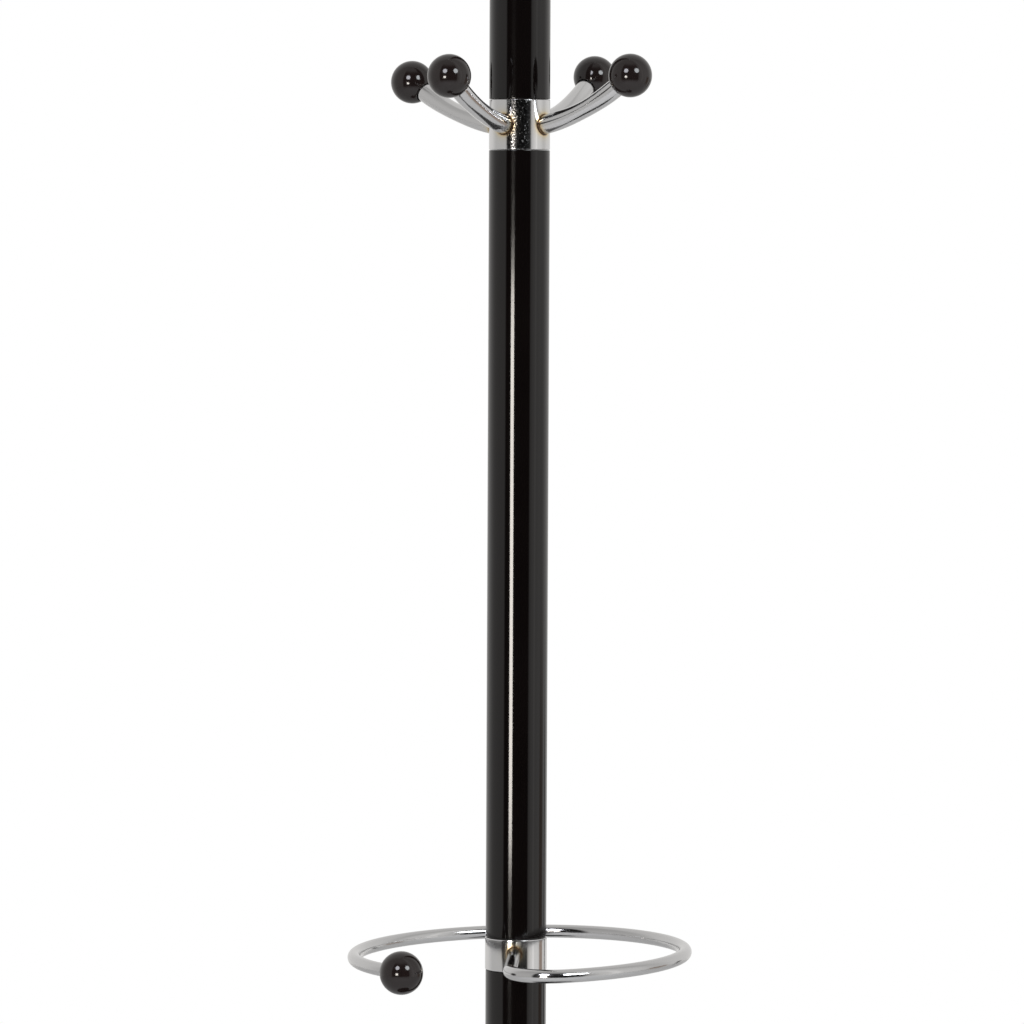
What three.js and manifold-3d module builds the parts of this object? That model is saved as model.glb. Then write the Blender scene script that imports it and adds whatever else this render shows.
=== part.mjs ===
// Standing coat rack: a dished cast base, a post of three tube sections joined by chromed collars, a crown
// of short arms at mid height, a crown of long arms at the top, and a C-shaped umbrella ring.
// Millimetres, +Z up. The origin is on the floor under the post's axis. Headings are measured from -Y, the
// front, towards +X. Each collar turns on a core of its own once its screwed joint is slackened.
import * as THREE from 'three';
import { mergeVertices } from 'three/addons/utils/BufferGeometryUtils.js';
import Module from 'manifold-3d';

// ---- Driving dimensions -------------------------------------------------------------------------
const GAP = 0.3; // clearance between pieces that touch

const POST_RADIUS = 19.35;
const TUBE_WALL = 1.2;
const TUBE_LENGTH = 501;
const PLUG_LENGTH = 22;

const FOOT_RADIUS = 13;
const FOOT_HEIGHT = 5;
const FOOT_PEG_RADIUS = 4;
const FOOT_PEG_LENGTH = 4.5;
const FOOT_CIRCLE = 165;
const FOOT_COUNT = 5;

const BASE_RADIUS = 190;
const BASE_UNDERSIDE = FOOT_HEIGHT + GAP;
const DISH_FLOOR = 12.5; // height of the drip dish's floor at its outer edge
const DISH_RADIUS = 177;
const RIM_TOP = 22.5;
const HUB_TOP = 41.7;
const HUB_RADIUS = 24.5;
const HUB_FOOT_RADIUS = 60; // where the hub's flare runs out into the dish
const RECESS_RADIUS = 20; // recess under the hub for the bolt's head
const RECESS_ROOF = 19.3;

const BOLT_RADIUS = 4.9;
const BOLT_HEAD_RADIUS = 9.8; // across corners, halved
const BOLT_HEAD_HEIGHT = 6.4;
const BOLT_INTO_PLUG = 18;
const WASHER_RADIUS = 12;
const WASHER_THICKNESS = 2;

const FERRULE_RADIUS = 22.5; // chromed ring around the foot of the post
const FERRULE_HEIGHT = 18;

const STUD_RADIUS = 3.9;
const STUD_INTO_PLUG = 18;
const CORE_RADIUS = 14.2;
const COLLAR_BORE_RADIUS = CORE_RADIUS + GAP;
const COLLAR_EDGE = 0.5; // chamfer on each edge of a collar

const ARM_COLLAR_HEIGHT = 31.6;
const RING_COLLAR_HEIGHT = 20.4;
const RING_COLLAR_RADIUS = 19.7;
const ROOT_RADIUS = 16.3; // how near the axis an arm or the ring's stem starts, inside its collar's wall

const ARM_RADIUS = 6;
const ARM_START_ANGLE = 10.3; // degrees above level where an arm leaves its collar
const SHORT_ARM = { bend: 144, sweep: 29 }; // bend radius, and degrees turned from the collar to the ball
const LONG_ARM = { bend: 165, sweep: 55 };
// Where each arm points, and how many degrees lower than drawn it was brazed.
const LOWER_CROWN_ARMS = [
  { heading: 54.5, droop: -0.6 },
  { heading: 145, droop: -1.7 },
  { heading: 233.3, droop: 1.8 },
  { heading: 329.1, droop: 0.5 },
];
const TOP_CROWN_ARMS = [
  { heading: 20, droop: 0 },
  { heading: 110, droop: 0 },
  { heading: 200, droop: 0 },
  { heading: 290, droop: 0 },
];

const BALL_RADIUS = 13.7;
const BALL_SEAT = 7.5; // how deep a rod's end sits in its ball
const BALL_STUD_RADIUS = 3;
const BALL_STUD_IN_ROD = 7.3;
const BALL_STUD_IN_BALL = 9.7;

const RING_ROD_RADIUS = 4.25;
const RING_RADIUS = 105.6;
const RING_OFFSET = 2.4; // the ring's centre stands this far to the right of the post's axis
const RING_ROLL = 1.2; // degrees, right side high
const RING_NOD = 0.9; // degrees, front low
const RING_DROP = 0.8; // how far the ring's centre stands below the collar's middle
const RING_STEM_HEADING = -2.8;
const RING_STEM_BEND = 27;
const RING_STEM_LIFT = 2.8; // how far the stem's root stands above the ring's plane
const RING_STEM_MOUTH = 1.5; // height above the collar's middle where the stem leaves the collar
const RING_STEM_FALL = 3.6; // degrees below level where it leaves
const RING_END_HEADING = -44;
const RING_STUD_RADIUS = 2;

const CAP_SKIRT = 2;
const CAP_DOME = 11;
const CAP_BORE_DEPTH = 9;

const POST_SIDES = 32;
const BASE_SIDES = 40;
const ROD_SIDES = 10;
const INNER_SIDES = 12; // hidden plugs, cores, studs and bores
const ARM_STEP_ANGLE = 6; // degrees of bend in each step of an arm
const RING_BEND_STEPS = 5;
const RING_STEPS = 42;
const RIM_STEPS = 5;
const FLARE_STEPS = 5;
const DOME_STEPS = 5;

// ---- Heights worked out from them ----------------------------------------------------------------
const LOWER_TUBE_BOTTOM = HUB_TOP + GAP;
const LOWER_TUBE_TOP = LOWER_TUBE_BOTTOM + TUBE_LENGTH;
const RING_COLLAR_BOTTOM = LOWER_TUBE_TOP + GAP;
const MIDDLE_TUBE_BOTTOM = RING_COLLAR_BOTTOM + RING_COLLAR_HEIGHT + GAP;
const MIDDLE_TUBE_TOP = MIDDLE_TUBE_BOTTOM + TUBE_LENGTH;
const LOWER_CROWN_BOTTOM = MIDDLE_TUBE_TOP + GAP;
const UPPER_TUBE_BOTTOM = LOWER_CROWN_BOTTOM + ARM_COLLAR_HEIGHT + GAP;
const UPPER_TUBE_TOP = UPPER_TUBE_BOTTOM + TUBE_LENGTH;
const TOP_CROWN_BOTTOM = UPPER_TUBE_TOP + GAP;
const CAP_BOTTOM = TOP_CROWN_BOTTOM + ARM_COLLAR_HEIGHT + GAP;

// ---- Finishes ------------------------------------------------------------------------------------
const CHROME = { color: 0xd6d8da, roughness: 0.07, metalness: 1 };
const BLACK_ENAMEL = { color: 0x0c0b0b, roughness: 0.1, metalness: 0 };
const CAST_ENAMEL = { color: 0x141414, roughness: 0.35, metalness: 0 };
const BLACK_PLASTIC = { color: 0x0a0909, roughness: 0.08, metalness: 0 };
const RUBBER = { color: 0x1b1b1b, roughness: 0.85, metalness: 0 };
const ZINC_STEEL = { color: 0xb4b6b4, roughness: 0.4, metalness: 1 };

// ---- Geometry helpers ----------------------------------------------------------------------------
const wasm = await Module();
wasm.setup();

const radians = THREE.MathUtils.degToRad;

// Shares the vertices of a closed surface and drops the triangles that shrink to nothing at a pole.
function closed(geometry) {
  geometry.deleteAttribute('normal');
  geometry.deleteAttribute('uv');
  const merged = mergeVertices(geometry, 1e-4);
  const corners = merged.index.array;
  const kept = [];
  for (let i = 0; i < corners.length; i += 3) {
    const [a, b, c] = corners.slice(i, i + 3);
    if (a !== b && b !== c && c !== a) kept.push(a, b, c);
  }
  merged.setIndex(kept);
  return merged;
}

function toSolid(geometry) {
  return new wasm.Manifold(new wasm.Mesh({
    numProp: 3,
    vertProperties: Float32Array.from(geometry.attributes.position.array),
    triVerts: Uint32Array.from(geometry.index.array),
  }));
}

// Cuts the tools out of a closed body.
function cut(geometry, ...tools) {
  const result = tools.reduce((solid, tool) => solid.subtract(toSolid(tool)), toSolid(geometry));
  return fromSolid(result);
}

function joined(first, second) {
  return fromSolid(toSolid(first).add(toSolid(second)));
}

function fromSolid(solid) {
  const mesh = solid.getMesh();
  const geometry = new THREE.BufferGeometry();
  geometry.setAttribute('position', new THREE.BufferAttribute(mesh.vertProperties, 3));
  geometry.setIndex(Array.from(mesh.triVerts));
  return geometry;
}

// A solid of revolution about Z. The [radius, height] points run up the outside and down the inside, and
// a profile that stays off the axis is closed on itself.
function turned(profile, sides) {
  const points = profile.map(([radius, height]) => new THREE.Vector2(radius, height));
  if (profile[0][0] > 0) points.push(points[0].clone());
  return closed(new THREE.LatheGeometry(points, sides).rotateX(Math.PI / 2));
}

// A ring, or a disc where the inner radius is 0, with its outer edges chamfered.
function ring(inner, outer, bottom, top, edge, sides) {
  return turned([
    [inner, bottom], [outer - edge, bottom], [outer, bottom + edge],
    [outer, top - edge], [outer - edge, top], [inner, top],
  ], sides);
}

// A plain cylinder along Z, used for bores and shanks.
function cylinder(radius, bottom, top, sides = INNER_SIDES) {
  return turned([[0, bottom], [radius, bottom], [radius, top], [0, top]], sides);
}

// A centre line of straight and round stretches that meet smoothly. Each stretch has its own number of
// steps, and the line's parameter runs evenly over the steps, so a tight bend is as fine as a wide one.
class CentreLine extends THREE.Curve {
  constructor(stretches) {
    super();
    this.stretches = stretches;
    this.steps = stretches.reduce((sum, stretch) => sum + stretch.steps, 0);
  }

  locate(u) {
    let step = u * this.steps;
    for (const stretch of this.stretches) {
      if (step <= stretch.steps + 1e-9) return [stretch, step / stretch.steps];
      step -= stretch.steps;
    }
    return [this.stretches.at(-1), 1];
  }

  getPointAt(u) {
    const [stretch, along] = this.locate(u);
    return stretch.point(along);
  }

  getTangentAt(u) {
    const [stretch, along] = this.locate(u);
    return stretch.tangent(along);
  }
}

function straight(from, to, steps) {
  return {
    steps,
    point: (along) => from.clone().lerp(to, along),
    tangent: () => to.clone().sub(from).normalize(),
  };
}

// An arc in the plane of the unit vectors u and v, turning from u towards v, with its angles in radians.
function arc(centre, radius, u, v, start, end, steps) {
  const angle = (along) => start + (end - start) * along;
  return {
    steps,
    point: (along) => centre.clone()
      .addScaledVector(u, radius * Math.cos(angle(along)))
      .addScaledVector(v, radius * Math.sin(angle(along))),
    tangent: (along) => u.clone().multiplyScalar(-Math.sin(angle(along)))
      .addScaledVector(v, Math.cos(angle(along))),
  };
}

// Ends a centre line with the short straight length that sits in a ball.
function seated(stretches) {
  const last = stretches.at(-1);
  const mouth = last.point(1);
  const end = mouth.clone().addScaledVector(last.tangent(1), BALL_SEAT);
  return new CentreLine([...stretches, straight(mouth, end, 1)]);
}

// A round bar bent along a centre line.
function bar(line, radius) {
  const section = new THREE.Shape();
  for (let side = 0; side < ROD_SIDES; side++) {
    const turn = (2 * Math.PI * side) / ROD_SIDES;
    const corner = [radius * Math.cos(turn), radius * Math.sin(turn)];
    if (side === 0) section.moveTo(...corner);
    else section.lineTo(...corner);
  }
  return closed(new THREE.ExtrudeGeometry(section, { steps: line.steps, extrudePath: line }));
}

// Turns a body built along +Z so that it points along a direction, and carries it to a place.
function aimed(geometry, place, direction) {
  const turn = new THREE.Quaternion().setFromUnitVectors(new THREE.Vector3(0, 0, 1), direction);
  return geometry.applyQuaternion(turn).translate(place.x, place.y, place.z);
}

// ---- Assembly helpers ----------------------------------------------------------------------------
const rack = new THREE.Group();

function add(name, geometry, finish, parent = rack) {
  const mesh = new THREE.Mesh(geometry, new THREE.MeshStandardMaterial(finish));
  mesh.name = name;
  parent.add(mesh);
  return mesh;
}

function groupAt(height, parent = rack) {
  const group = new THREE.Group();
  group.position.z = height;
  parent.add(group);
  return group;
}

// ---- Base ----------------------------------------------------------------------------------------
// The casting's section: flat underside, rounded rim, a dish that falls outwards, a hub that flares up to
// the post in a quarter of an ellipse, and a recess and bore for the bolt.
function baseCasting() {
  const flare = [];
  for (let step = 0; step <= FLARE_STEPS; step++) {
    const turn = (Math.PI / 2) * (step / FLARE_STEPS);
    flare.push([
      HUB_FOOT_RADIUS - (HUB_FOOT_RADIUS - HUB_RADIUS) * Math.sin(turn),
      HUB_TOP - (HUB_TOP - DISH_FLOOR - 1) * Math.cos(turn),
    ]);
  }
  const rimMiddle = (BASE_RADIUS + DISH_RADIUS) / 2;
  const rimHalf = (BASE_RADIUS - DISH_RADIUS) / 2;
  const rim = [];
  for (let step = 0; step <= RIM_STEPS; step++) {
    const turn = Math.PI * (step / RIM_STEPS);
    rim.push([rimMiddle + rimHalf * Math.cos(turn), RIM_TOP - rimHalf + rimHalf * Math.sin(turn)]);
  }
  const blank = turned([
    [RECESS_RADIUS, BASE_UNDERSIDE],
    [BASE_RADIUS - 4, BASE_UNDERSIDE],
    [BASE_RADIUS, BASE_UNDERSIDE + 4],
    ...rim,
    [DISH_RADIUS - 3, DISH_FLOOR],
    ...flare,
    [BOLT_RADIUS + GAP, HUB_TOP],
    [BOLT_RADIUS + GAP, RECESS_ROOF],
    [RECESS_RADIUS, RECESS_ROOF],
  ], BASE_SIDES);
  const sockets = footPlaces().map((place) => (
    cylinder(FOOT_PEG_RADIUS + GAP, BASE_UNDERSIDE - 1, FOOT_HEIGHT + FOOT_PEG_LENGTH + GAP)
      .translate(place.x, place.y, 0)
  ));
  return cut(blank, ...sockets);
}

// The feet stand evenly on a circle, the first one at the right.
function footPlaces() {
  return Array.from({ length: FOOT_COUNT }, (_, index) => {
    const turn = (2 * Math.PI * index) / FOOT_COUNT;
    return new THREE.Vector3(FOOT_CIRCLE * Math.cos(turn), FOOT_CIRCLE * Math.sin(turn), 0);
  });
}

function foot() {
  return turned([
    [0, 0], [FOOT_RADIUS - 1, 0], [FOOT_RADIUS, 1], [FOOT_RADIUS, FOOT_HEIGHT],
    [FOOT_PEG_RADIUS, FOOT_HEIGHT], [FOOT_PEG_RADIUS, FOOT_HEIGHT + FOOT_PEG_LENGTH],
    [0, FOOT_HEIGHT + FOOT_PEG_LENGTH],
  ], INNER_SIDES);
}

// A hexagon-headed bolt, head down, up through the hub into the lower tube's bottom plug.
function baseBolt(headTop) {
  const hexagon = cylinder(BOLT_HEAD_RADIUS, headTop - BOLT_HEAD_HEIGHT, headTop, 6);
  const shank = cylinder(BOLT_RADIUS, headTop - 1, LOWER_TUBE_BOTTOM + BOLT_INTO_PLUG);
  return joined(hexagon, shank);
}

function addBase() {
  add('base_casting', baseCasting(), CAST_ENAMEL);
  footPlaces().forEach((place, index) => {
    add(`foot_${index + 1}`, foot(), RUBBER).position.copy(place);
  });
  const washerTop = RECESS_ROOF - GAP;
  const washerBottom = washerTop - WASHER_THICKNESS;
  add('base_washer', ring(BOLT_RADIUS + GAP, WASHER_RADIUS, washerBottom, washerTop, 0, INNER_SIDES),
    ZINC_STEEL);
  add('base_bolt', baseBolt(washerBottom - GAP), ZINC_STEEL);
  add('post_ferrule', turned([
    [POST_RADIUS + GAP, 0], [FERRULE_RADIUS, 0], [FERRULE_RADIUS, FERRULE_HEIGHT * 0.6],
    [FERRULE_RADIUS - 1, FERRULE_HEIGHT * 0.85], [FERRULE_RADIUS - 2.4, FERRULE_HEIGHT],
    [POST_RADIUS + GAP, FERRULE_HEIGHT],
  ], POST_SIDES), CHROME).position.z = LOWER_TUBE_BOTTOM;
}

// ---- Post ----------------------------------------------------------------------------------------
// A tube section with a threaded plug pressed into each end.
function addPostSection(name, bottom, bottomBoreRadius) {
  const section = groupAt(bottom);
  const bore = POST_RADIUS - TUBE_WALL;
  const threadRadius = STUD_RADIUS + GAP;
  add(`${name}_post_tube`, ring(bore, POST_RADIUS, 0, TUBE_LENGTH, 0, POST_SIDES), BLACK_ENAMEL, section);
  const plugBottoms = { bottom: 0, top: TUBE_LENGTH - PLUG_LENGTH };
  for (const [end, start] of Object.entries(plugBottoms)) {
    const plugBore = end === 'bottom' ? bottomBoreRadius : threadRadius;
    add(`${name}_tube_${end}_plug`,
      ring(plugBore, bore - GAP, start, start + PLUG_LENGTH, 0, INNER_SIDES), ZINC_STEEL, section);
  }
}

// The stud and the load-bearing core that a collar turns on.
function addJoint(name, collarBottom, collarHeight, studTop) {
  const joint = groupAt(collarBottom);
  add(`${name}_core`, ring(STUD_RADIUS + GAP, CORE_RADIUS, 0, collarHeight, 0, INNER_SIDES),
    ZINC_STEEL, joint);
  add(`${name}_stud`, ring(0, STUD_RADIUS, -GAP - STUD_INTO_PLUG, studTop, 0.8, INNER_SIDES),
    ZINC_STEEL, joint);
}

function addCap() {
  const height = CAP_SKIRT + CAP_DOME;
  const dome = [];
  for (let step = 0; step < DOME_STEPS; step++) {
    const turn = (Math.PI / 2) * (step / DOME_STEPS);
    dome.push([POST_RADIUS * Math.cos(turn), CAP_SKIRT + CAP_DOME * Math.sin(turn)]);
  }
  const boreRadius = STUD_RADIUS + GAP;
  add('top_cap', turned([
    [0, CAP_BORE_DEPTH], [boreRadius, CAP_BORE_DEPTH], [boreRadius, 0], [POST_RADIUS, 0],
    ...dome, [0, height],
  ], POST_SIDES), BLACK_PLASTIC).position.z = CAP_BOTTOM;
}

// ---- Arms and balls ------------------------------------------------------------------------------
// A ball centred on the origin, bored from below for a rod's end and then for its stud.
function ball(rodRadius, studRadius) {
  const sphere = closed(new THREE.SphereGeometry(BALL_RADIUS, 14, 9).rotateX(Math.PI / 2));
  const seatTop = BALL_SEAT - BALL_RADIUS + GAP;
  const rodBore = cylinder(rodRadius + GAP + 0.05, -BALL_RADIUS - 1, seatTop);
  const studTop = BALL_SEAT - BALL_RADIUS + BALL_STUD_IN_BALL;
  const studBore = cylinder(studRadius + GAP, seatTop - 1, studTop + GAP, ROD_SIDES);
  return cut(sphere, rodBore, studBore);
}

// Bores a bar's end for the ball's stud, and adds the bar, the stud and the ball.
function addBarAndBall(name, line, radius, studRadius, parent) {
  const end = line.getPointAt(1);
  const outwards = line.getTangentAt(1);
  const studBore = cylinder(studRadius + GAP, -BALL_STUD_IN_ROD - GAP, 1, ROD_SIDES);
  add(name, cut(bar(line, radius), aimed(studBore, end, outwards)), CHROME, parent);
  const stud = cylinder(studRadius, -BALL_STUD_IN_ROD, BALL_STUD_IN_BALL, ROD_SIDES);
  add(`${name}_ball_stud`, aimed(stud, end, outwards), ZINC_STEEL, parent);
  const ballCentre = end.clone().addScaledVector(outwards, BALL_RADIUS - BALL_SEAT);
  add(`${name}_ball`, aimed(ball(radius, studRadius), ballCentre, outwards), BLACK_PLASTIC, parent);
}

// An arm's centre line in the XZ plane, from inside the collar's wall, along a rising arc, to the ball. It
// passes through the collar's outer surface at the origin.
function armLine({ bend, sweep }) {
  const outwards = new THREE.Vector3(1, 0, 0);
  const upwards = new THREE.Vector3(0, 0, 1);
  const startAngle = radians(ARM_START_ANGLE);
  const leaving = new THREE.Vector3(Math.cos(startAngle), 0, Math.sin(startAngle));
  const surface = new THREE.Vector3();
  const root = leaving.clone().multiplyScalar((ROOT_RADIUS - POST_RADIUS) / leaving.x);
  const centre = new THREE.Vector3(-leaving.z, 0, leaving.x).multiplyScalar(bend);
  const start = startAngle - Math.PI / 2;
  const end = start + radians(sweep) - BALL_RADIUS / bend;
  const steps = Math.ceil(sweep / ARM_STEP_ANGLE);
  return seated([
    straight(root, surface, 1),
    arc(centre, bend, outwards, upwards, start, end, steps),
  ]);
}

// A collar with a hole through its wall for each bar that is brazed into it.
function boredCollar(outerRadius, height, barRadius, mouthHeight, rise, headings) {
  const blank = ring(COLLAR_BORE_RADIUS, outerRadius, 0, height, COLLAR_EDGE, POST_SIDES);
  const holes = headings.map((heading) => {
    const turn = radians(heading - 90);
    const along = new THREE.Vector3(
      Math.cos(turn) * Math.cos(rise), Math.sin(turn) * Math.cos(rise), Math.sin(rise));
    const mouth = new THREE.Vector3(
      outerRadius * Math.cos(turn), outerRadius * Math.sin(turn), mouthHeight);
    return aimed(cylinder(barRadius + GAP + 0.05, -8, 4), mouth, along);
  });
  return cut(blank, ...holes);
}

// A collar and the arms brazed into it. Each arm stands in a group turned to its heading, and droops about
// the point where it leaves the collar.
function addCrown(name, armName, bottom, arms, shape) {
  const crown = groupAt(bottom);
  const rise = radians(ARM_START_ANGLE);
  const headings = arms.map((arm) => arm.heading);
  const middle = ARM_COLLAR_HEIGHT / 2;
  add(`${name}_collar`, boredCollar(POST_RADIUS, ARM_COLLAR_HEIGHT, ARM_RADIUS, middle, rise, headings),
    CHROME, crown);
  arms.forEach(({ heading, droop }, index) => {
    const headed = groupAt(middle, crown);
    headed.rotation.z = radians(heading - 90);
    const drooped = groupAt(0, headed);
    drooped.position.x = POST_RADIUS;
    drooped.rotation.y = radians(droop);
    addBarAndBall(`${armName}_${index + 1}`, armLine(shape), ARM_RADIUS, BALL_STUD_RADIUS, drooped);
  });
}

// ---- Umbrella ring -------------------------------------------------------------------------------
// The rod leaves the collar at the front, bends sharply to the right and goes round the post by the right,
// the back and the left. The bend touches the straight stem and, from inside, the ring's circle: its centre
// is one bend radius from the stem and a bend radius less than the ring's radius from the ring's centre. The
// stem falls a little from its root to the bend.
function ringLine() {
  const right = new THREE.Vector3(1, 0, 0);
  const back = new THREE.Vector3(0, 1, 0);
  const heading = radians(RING_STEM_HEADING);
  const stem = new THREE.Vector3(Math.sin(heading), -Math.cos(heading), 0);
  const inwards = new THREE.Vector3(-stem.y, stem.x, 0);
  const centre = new THREE.Vector3(RING_OFFSET, 0, 0);
  const fromCentre = inwards.clone().multiplyScalar(RING_STEM_BEND).sub(centre);
  const half = fromCentre.dot(stem);
  const reach = RING_RADIUS - RING_STEM_BEND;
  const stemLength = Math.sqrt(half * half - fromCentre.lengthSq() + reach * reach) - half;
  const bendStart = stem.clone().multiplyScalar(stemLength);
  const bendCentre = bendStart.clone().addScaledVector(inwards, RING_STEM_BEND);
  const touch = bendCentre.clone().sub(centre);
  const bendFrom = Math.atan2(-inwards.y, -inwards.x) - 2 * Math.PI;
  const bendTo = Math.atan2(touch.y, touch.x);
  const ringTo = radians(RING_END_HEADING - 90) + 2 * Math.PI - BALL_RADIUS / RING_RADIUS;
  return seated([
    straight(stem.clone().multiplyScalar(ROOT_RADIUS).setZ(RING_STEM_LIFT), bendStart, 2),
    arc(bendCentre, RING_STEM_BEND, right, back, bendFrom, bendTo, RING_BEND_STEPS),
    arc(centre, RING_RADIUS, right, back, bendTo, ringTo, RING_STEPS),
  ]);
}

function addUmbrellaHolder() {
  const holder = groupAt(RING_COLLAR_BOTTOM);
  const middle = RING_COLLAR_HEIGHT / 2;
  add('umbrella_collar',
    boredCollar(RING_COLLAR_RADIUS, RING_COLLAR_HEIGHT, RING_ROD_RADIUS, middle + RING_STEM_MOUTH,
      -radians(RING_STEM_FALL), [RING_STEM_HEADING]),
    CHROME, holder);
  const place = groupAt(middle - RING_DROP, holder);
  place.rotation.set(radians(RING_NOD), -radians(RING_ROLL), 0);
  addBarAndBall('umbrella_ring', ringLine(), RING_ROD_RADIUS, RING_STUD_RADIUS, place);
}

// ---- The whole rack ------------------------------------------------------------------------------
addBase();
addPostSection('lower', LOWER_TUBE_BOTTOM, BOLT_RADIUS + GAP);
addPostSection('middle', MIDDLE_TUBE_BOTTOM, STUD_RADIUS + GAP);
addPostSection('upper', UPPER_TUBE_BOTTOM, STUD_RADIUS + GAP);
addJoint('umbrella_collar', RING_COLLAR_BOTTOM, RING_COLLAR_HEIGHT,
  RING_COLLAR_HEIGHT + GAP + STUD_INTO_PLUG);
addJoint('lower_crown', LOWER_CROWN_BOTTOM, ARM_COLLAR_HEIGHT, ARM_COLLAR_HEIGHT + GAP + STUD_INTO_PLUG);
addJoint('top_crown', TOP_CROWN_BOTTOM, ARM_COLLAR_HEIGHT, ARM_COLLAR_HEIGHT + CAP_BORE_DEPTH - GAP);
addUmbrellaHolder();
addCrown('lower_crown', 'short_arm', LOWER_CROWN_BOTTOM, LOWER_CROWN_ARMS, SHORT_ARM);
addCrown('top_crown', 'long_arm', TOP_CROWN_BOTTOM, TOP_CROWN_ARMS, LONG_ARM);
addCap();

export default rack;
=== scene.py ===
"""Looks of the standing coat rack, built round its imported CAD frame.

Metres, +Z up, the front of the rack towards -Y. Headings are measured from the front towards +X. Every
turned or bent piece is one surface: a profile carried along a centre line, worked out as whole arrays.
"""
import math

import bpy
import numpy as np
from mathutils import Matrix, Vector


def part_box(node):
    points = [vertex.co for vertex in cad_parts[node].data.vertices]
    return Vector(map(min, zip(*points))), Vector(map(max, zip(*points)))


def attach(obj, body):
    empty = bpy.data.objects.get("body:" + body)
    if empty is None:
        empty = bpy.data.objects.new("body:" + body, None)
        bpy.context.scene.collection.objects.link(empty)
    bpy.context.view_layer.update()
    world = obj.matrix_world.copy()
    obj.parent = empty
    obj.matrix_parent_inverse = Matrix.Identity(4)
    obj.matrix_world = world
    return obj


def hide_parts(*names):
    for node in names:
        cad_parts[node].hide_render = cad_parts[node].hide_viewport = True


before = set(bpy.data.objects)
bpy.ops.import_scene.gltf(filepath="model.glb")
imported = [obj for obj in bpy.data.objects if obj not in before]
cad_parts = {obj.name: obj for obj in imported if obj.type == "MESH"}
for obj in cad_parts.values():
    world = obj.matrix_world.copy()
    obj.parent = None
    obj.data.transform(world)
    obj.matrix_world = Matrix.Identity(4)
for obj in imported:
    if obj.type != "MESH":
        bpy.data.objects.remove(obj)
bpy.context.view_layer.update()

MM = 0.001

# ---- Driving dimensions, in millimetres -------------------------------------------------------------
TUBE_WALL = 1.2
FERRULE_CLEARANCE = 0.3
FERRULE_TIP = 1.1        # how far the ferrule's tapered end stands out from the post
COLLAR_BORE_RADIUS = 14.5
ROOT_RADIUS = 16.3       # how near the axis an arm or the ring's stem starts, inside its collar's wall

ARM_RADIUS = 6.1
ARM_FLATTENING = 0.11    # how much thinner a bar is, in the plane of its bend, at the middle of the bend
ARM_SPREAD = 0.035       # how much wider it is there, across that plane
ARM_SQUEEZE_START = 4    # how far from its joint an arm starts to be thinner
ARM_START_ANGLE = 10.3   # degrees above level where an arm leaves its collar
SHORT_ARM = {"bend": 144, "sweep": 29}
LONG_ARM = {"bend": 165, "sweep": 55}
LOWER_CROWN_ARMS = [(54.5, -0.6), (145, -1.7), (233.3, 1.8), (329.1, 0.5)]  # heading, droop
TOP_CROWN_ARMS = [(20, 0), (110, 0), (200, 0), (290, 0)]
ARM_STUD_RADIUS = 3.3

BALL_RADIUS = 13.7
BALL_SEAT = 7.5          # how deep a rod's end sits in its ball
STUD_DEPTH_IN_ROD = 7.6
STUD_DEPTH_IN_BALL = 10
BALL_LIP = 0.4
BALL_BORE_CLEARANCE = 0.35
BALL_SEAT_CLEARANCE = 0.3

RING_ROD_RADIUS = 4.25
RING_RADIUS = 105.6
RING_OFFSET = 2.4        # how far the ring's centre stands to the right of the post's axis
RING_ROLL = 1.2          # degrees that its right side is higher than level
RING_NOD = 0.9           # degrees that its rear is higher than level
RING_DROP = 0.8          # how far the ring's centre stands below its collar's middle
RING_STEM_HEADING = -2.8
RING_STEM_BEND = 27
RING_STEM_LIFT = 2.8     # how far the stem's root stands above the ring's plane
RING_END_HEADING = -44
RING_STUD_RADIUS = 2.3
RING_FLATTENING = 0.06
RING_SPREAD = 0.03
RING_SQUEEZE_BEFORE = 2  # how far before the stem's bend the rod starts to be thinner
RING_SQUEEZE_AFTER = 9   # and how far after it the rod is round again

GRAIN_LENGTH = 90        # how far a drawing line on a bar runs, per unit of the grain pattern
BRAZE_FILLET = 0.65
BRAZE_OVERLAP = 0.05     # how far the fillet's edges reach under the skins of the bar and the collar
BRAZE_DEPTH_IN_BAR = 0.3
BRAZE_DEPTH_IN_COLLAR = 0.5
HEAT_REACH = 1.7         # distance in which the heat tint beside a brazed joint fades to a third

BASE_EDGE = 4
DISH_RADIUS = 177
HUB_RADIUS = 24.5
HUB_FOOT_RADIUS = 60
DISH_DEPTH = 10          # from the rim's top down to the dish's floor
DISH_FALL = 1            # how much lower the dish's floor lies at the rim than beside the hub
HUB_RISE = 28.2          # from the dish's floor beside the hub up to the hub's top
RECESS_RADIUS = 20
RECESS_DEPTH = 14
BOLT_HOLE_RADIUS = 5.2
FOOT_PEG_RADIUS = 4
FOOT_HEIGHT = 5
FOOT_GROOVE_INSET = 3    # from a foot's edge to the middle of the groove in its tread
FOOT_GROOVE_DEPTH = 0.4
CAP_SKIRT = 2
CAP_BORE_RADIUS = 4.2
CAP_BORE_DEPTH = 9

# ---- Fineness of the surfaces -----------------------------------------------------------------------
CORNER_STEPS = 5         # steps round each eased corner of a profile
TUBE_SIDES = 160
COLLAR_SIDES = 320
COLLAR_ROWS = 90         # rows of a collar's outer wall, which carry its heat tint
BAR_SIDES = 64
ARM_STEP = 1.0           # distance between rows along an arm
RING_STEP = 1.2          # distance between rows along the ring
BALL_SIDES = 72
BALL_ROWS = 48
BRAZE_SIDES = 96
BRAZE_ROWS = 9           # rows of a fillet's hollow, from the bar to the collar
CAP_SIDES = 96
CAP_ROWS = 24            # rows of the cap's dome
BASE_SIDES = 256
BASE_STEP = 4            # widest gap between rows on the base, which keeps its long flats even
RIM_ROWS = 25
FLARE_ROWS = 40
FOOT_SIDES = 64


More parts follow.
